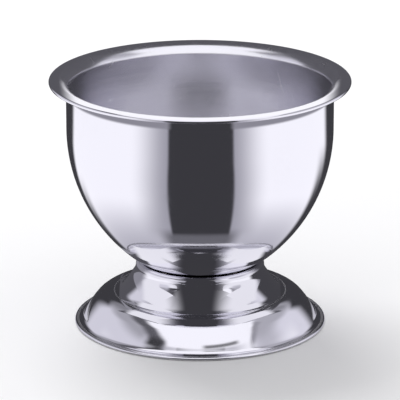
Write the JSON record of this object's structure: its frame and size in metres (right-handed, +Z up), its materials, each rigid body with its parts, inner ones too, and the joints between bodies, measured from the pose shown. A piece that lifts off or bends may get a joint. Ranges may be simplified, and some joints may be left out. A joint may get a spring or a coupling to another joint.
{
  "type": "egg cup",
  "caption": "Polished steel egg cup: a deep round bowl with a flat rim flange, spot-welded to a hollow flared foot.",
  "frame": {"origin": "on the cup's axis, in the plane of the foot's flat underside", "axes": "+Z up along the cup's axis, towards the open rim; X and Y lie in the table's plane, and the cup is round about Z"},
  "size_m": [0.05, 0.05, 0.042],
  "materials": {
    "bowl_steel": "polished",
    "foot_steel": "polished",
    "weld_steel": "satin"
  },
  "bodies": {
    "root": {"bowl": "bowl_steel", "foot": "foot_steel", "weld_spots": "weld_steel"}
  },
  "joints": []
}
